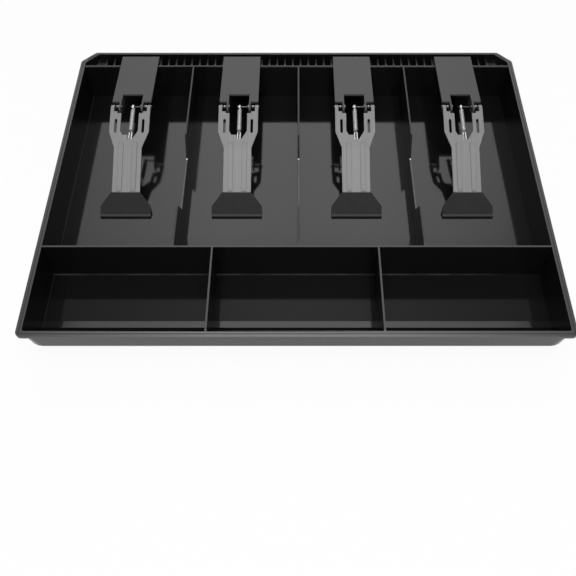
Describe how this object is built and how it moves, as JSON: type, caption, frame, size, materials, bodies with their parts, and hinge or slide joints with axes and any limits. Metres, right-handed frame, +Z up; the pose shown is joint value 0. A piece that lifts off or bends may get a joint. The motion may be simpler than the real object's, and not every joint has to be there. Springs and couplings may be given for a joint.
{
  "type": "cash_register_tray",
  "caption": "Black plastic cash register tray with coin and note compartments and sprung note clips on hinges.",
  "frame": {"origin": "centre of the tray's flat underside", "axes": "+Z up, +X to the right seen from the coin side, -Y towards the coin compartments at the front"},
  "size_m": [0.33, 0.245, 0.0384],
  "materials": {
    "tray_plastic": "black moulded plastic with a soft gloss",
    "bracket_paint": "dark grey paint, satin",
    "arm_steel": "mid grey coating on stamped steel, satin",
    "foot_rubber": "black, matt",
    "pin_steel": "bright drawn steel",
    "spring_wire": "bright plated wire"
  },
  "bodies": {
    "tray": {"tray": "tray_plastic"},
    "bracket_1": {"clip_bracket_1": "bracket_paint", "hinge_rivet_left_1": "pin_steel", "hinge_rivet_right_1": "pin_steel", "spring_post_1": "pin_steel", "spring_1": "spring_wire"},
    "arm_1": {"clip_arm_1": "arm_steel", "foot_pad_1": "foot_rubber"},
    "bracket_2": {"clip_bracket_2": "bracket_paint", "hinge_rivet_left_2": "pin_steel", "hinge_rivet_right_2": "pin_steel", "spring_post_2": "pin_steel", "spring_2": "spring_wire"},
    "arm_2": {"clip_arm_2": "arm_steel", "foot_pad_2": "foot_rubber"},
    "bracket_3": {"clip_bracket_3": "bracket_paint", "hinge_rivet_left_3": "pin_steel", "hinge_rivet_right_3": "pin_steel", "spring_post_3": "pin_steel", "spring_3": "spring_wire"},
    "arm_3": {"clip_arm_3": "arm_steel", "foot_pad_3": "foot_rubber"},
    "bracket_4": {"clip_bracket_4": "bracket_paint", "hinge_rivet_left_4": "pin_steel", "hinge_rivet_right_4": "pin_steel", "spring_post_4": "pin_steel", "spring_4": "spring_wire"},
    "arm_4": {"clip_arm_4": "arm_steel", "foot_pad_4": "foot_rubber"}
  },
  "joints": [
    {"name": "bracket_1_lift", "type": "slide", "parent": "tray", "child": "bracket_1", "axis": [0, 0, 1], "range_m": [0, 0.03]},
    {"name": "arm_1_hinge", "type": "hinge", "parent": "bracket_1", "child": "arm_1", "pos_m": [-0.12, 0.06285, 0.03621], "axis": [-1, 0, 0], "range_deg": [0, 95], "stiffness_Nm_per_rad": 0.05, "springref_deg": -17.19, "deforming": ["spring_1"]},
    {"name": "bracket_2_lift", "type": "slide", "parent": "tray", "child": "bracket_2", "axis": [0, 0, 1], "range_m": [0, 0.03]},
    {"name": "arm_2_hinge", "type": "hinge", "parent": "bracket_2", "child": "arm_2", "pos_m": [-0.042, 0.06285, 0.03621], "axis": [-1, 0, 0], "range_deg": [0, 95], "stiffness_Nm_per_rad": 0.05, "springref_deg": -17.19, "deforming": ["spring_2"]},
    {"name": "bracket_3_lift", "type": "slide", "parent": "tray", "child": "bracket_3", "axis": [0, 0, 1], "range_m": [0, 0.03]},
    {"name": "arm_3_hinge", "type": "hinge", "parent": "bracket_3", "child": "arm_3", "pos_m": [0.042, 0.06285, 0.03621], "axis": [-1, 0, 0], "range_deg": [0, 95], "stiffness_Nm_per_rad": 0.05, "springref_deg": -17.19, "deforming": ["spring_3"]},
    {"name": "bracket_4_lift", "type": "slide", "parent": "tray", "child": "bracket_4", "axis": [0, 0, 1], "range_m": [0, 0.03]},
    {"name": "arm_4_hinge", "type": "hinge", "parent": "bracket_4", "child": "arm_4", "pos_m": [0.12, 0.06285, 0.03621], "axis": [-1, 0, 0], "range_deg": [0, 95], "stiffness_Nm_per_rad": 0.05, "springref_deg": -17.19, "deforming": ["spring_4"]}
  ]
}
